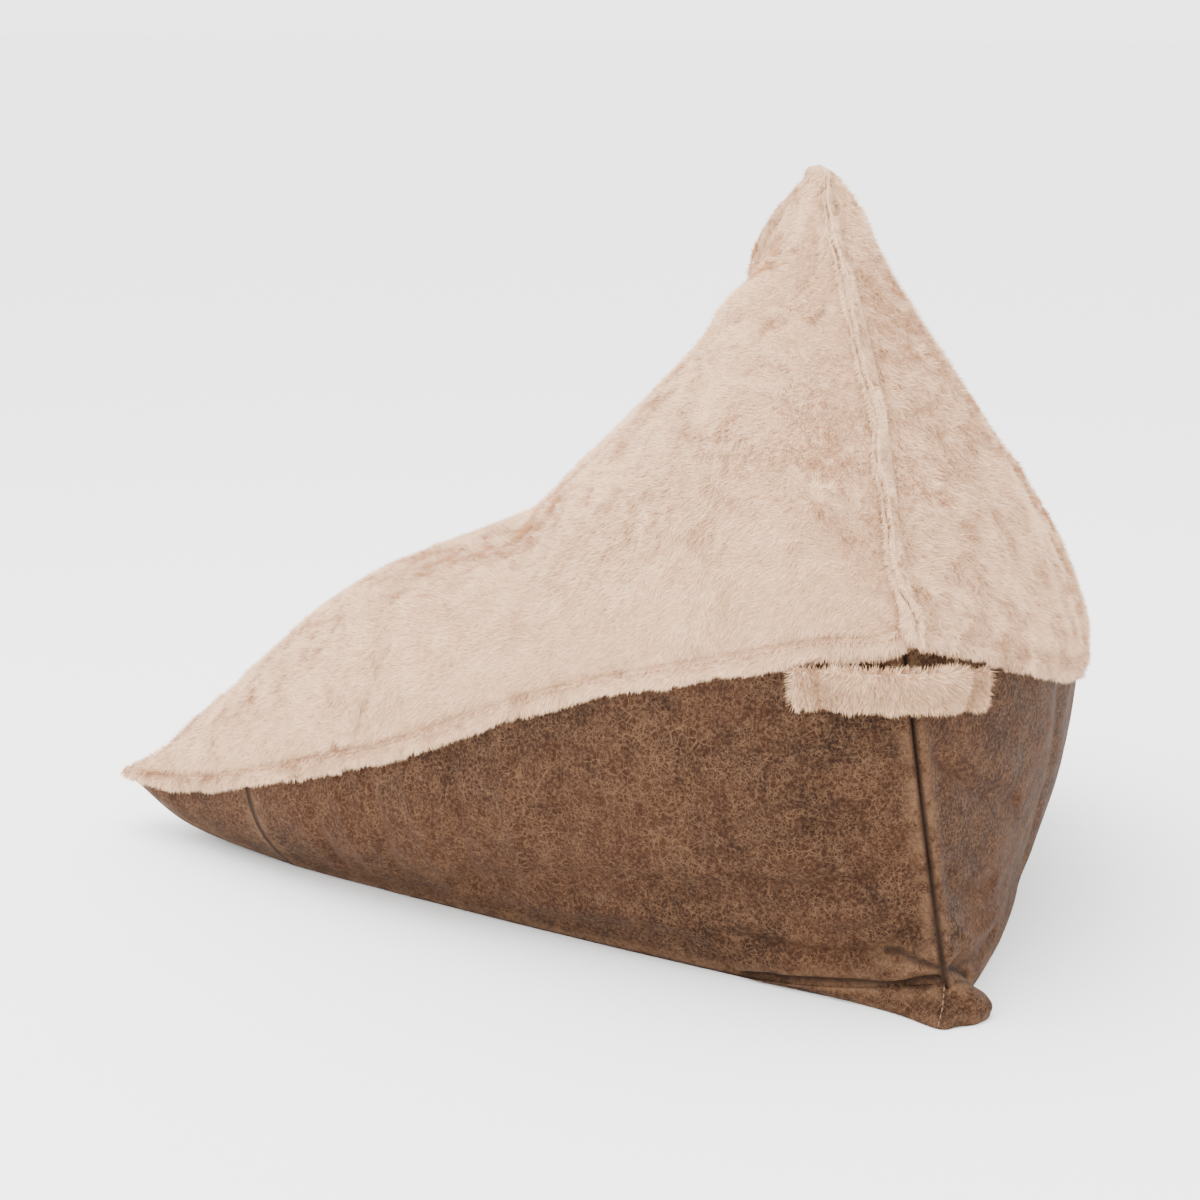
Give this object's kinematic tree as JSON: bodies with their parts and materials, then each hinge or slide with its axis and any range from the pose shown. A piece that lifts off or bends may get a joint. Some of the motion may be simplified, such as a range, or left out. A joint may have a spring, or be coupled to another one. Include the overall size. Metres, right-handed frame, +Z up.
{
  "type": "bean bag chair",
  "caption": "Pyramid-shaped bean bag chair with a plush seat and backrest, a leather lower body, a side handle, zipped cover and a liner full of beads.",
  "frame": {"origin": "on the floor, on the flat underside, in the centre plane of the bag and midway between the tip of the toe and the back of the bulging back panel", "axes": "+Z up, -Y towards the toe where the feet go, +X to the sitter's left, the side that carries the handle"},
  "size_m": [0.9558, 1.3111, 0.9411],
  "materials": {
    "plush": "short cream pile",
    "leather": "worn brown, slightly crackled",
    "webbing": "woven",
    "liner_cloth": "plain weave",
    "beads": "foamed beads",
    "zip_tape": "woven",
    "zip_coil": "moulded",
    "zip_metal": "tumbled"
  },
  "bodies": {
    "chair": {"back_plush_hem": "plush", "bead_fill": "beads", "cover_zip_coil_front": "zip_coil", "cover_zip_coil_rear": "zip_coil", "cover_zip_left_stop": "zip_metal", "cover_zip_right_stop": "zip_metal", "cover_zip_tape_front": "zip_tape", "cover_zip_tape_rear": "zip_tape", "handle_plush_sleeve": "plush", "handle_webbing": "webbing", "leather_back": "leather", "leather_base": "leather", "left_leather_ear": "leather", "left_leather_side": "leather", "left_plush_hem": "plush", "left_rear_plush_flange": "plush", "liner_bag": "liner_cloth", "liner_zip_coil_front": "zip_coil", "liner_zip_coil_rear": "zip_coil", "liner_zip_left_stop": "zip_metal", "liner_zip_right_stop": "zip_metal", "liner_zip_tape_front": "zip_tape", "liner_zip_tape_rear": "zip_tape", "plush_back_panel": "plush", "plush_front_panel": "plush", "right_leather_ear": "leather", "right_leather_side": "leather", "right_plush_hem": "plush", "right_rear_plush_flange": "plush"},
    "cover_zip_pull": {"cover_zip_slider": "zip_metal"},
    "liner_zip_pull": {"liner_zip_slider": "zip_metal"}
  },
  "joints": [
    {"name": "cover_zip_slide", "type": "slide", "parent": "chair", "child": "cover_zip_pull", "axis": [-1, 0, 0], "range_m": [0, 0.684]},
    {"name": "liner_zip_slide", "type": "slide", "parent": "chair", "child": "liner_zip_pull", "axis": [-1, 0, 0], "range_m": [0, 0.304]}
  ]
}
